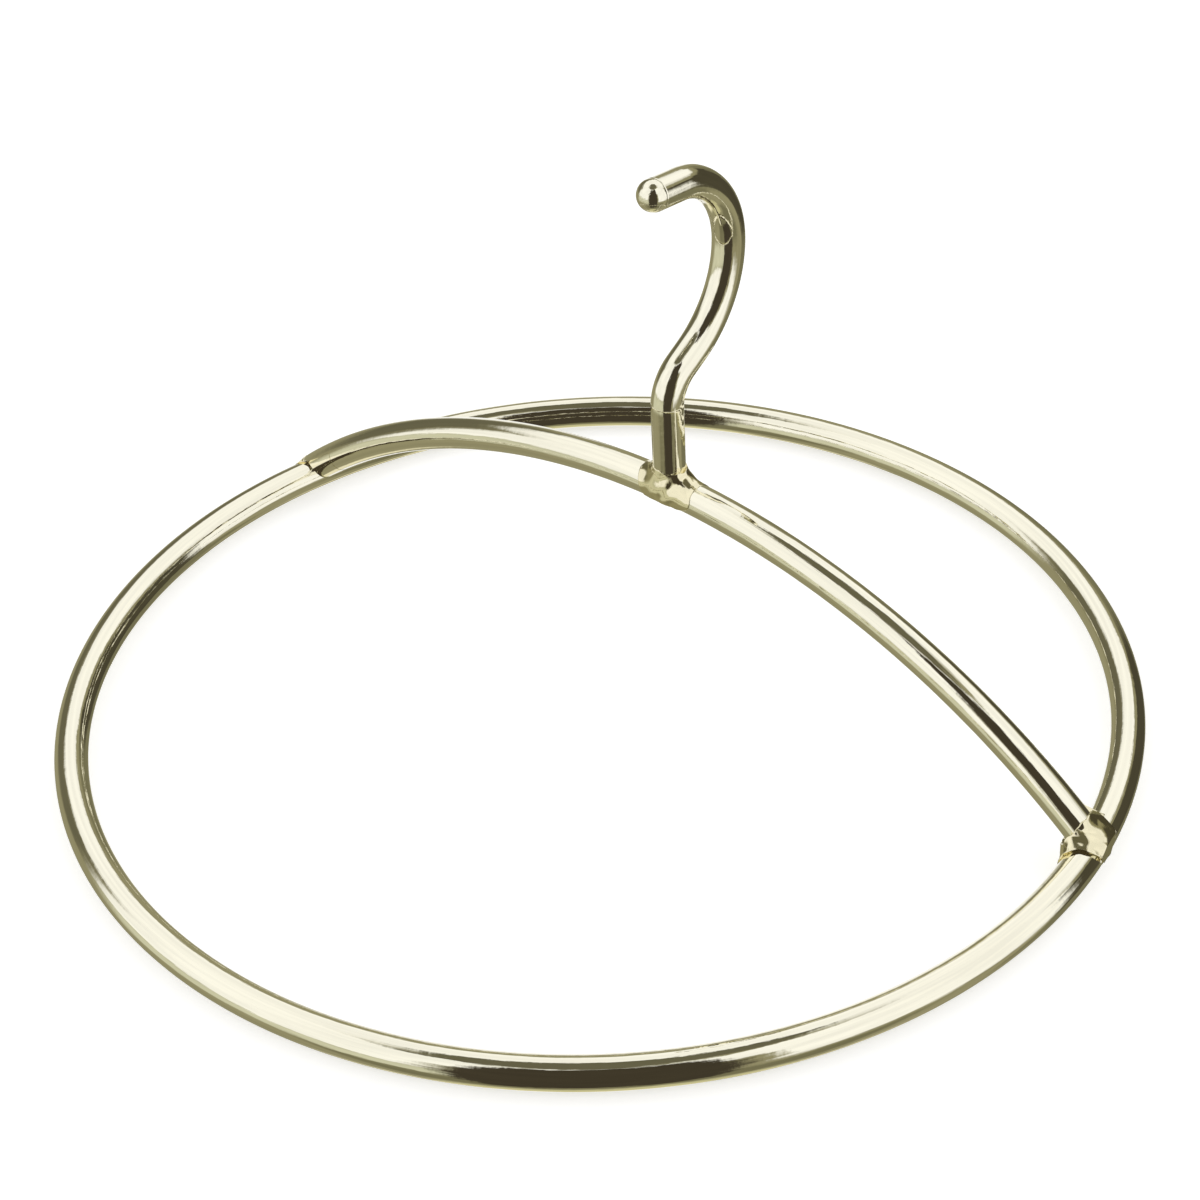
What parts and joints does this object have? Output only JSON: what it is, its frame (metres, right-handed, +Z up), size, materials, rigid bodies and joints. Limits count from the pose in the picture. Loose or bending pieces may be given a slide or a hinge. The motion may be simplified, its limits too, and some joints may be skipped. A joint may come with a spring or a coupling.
{
  "type": "hanging wreath frame",
  "caption": "Round rod hoop spanned by a raised arched bar that carries a face-out hook, welded and plated, for hanging a wreath or ring display from a rail.",
  "frame": {"origin": "on the hoop's axis, in the plane its underside rests on", "axes": "+X along the arched bar's span, +Y towards the back (the side the hook bulges to), +Z up, along the hoop's axis"},
  "size_m": [0.258, 0.258, 0.1344],
  "materials": {
    "plated_rod": "mirror-polished pale gold plating on steel rod",
    "plated_weld": "smoothed weld bead under the same pale gold plating"
  },
  "bodies": {
    "root": {"ring": "plated_rod", "arch_bar": "plated_rod", "hook": "plated_rod", "weld_left": "plated_weld", "weld_right": "plated_weld", "weld_hook": "plated_weld"}
  },
  "joints": []
}
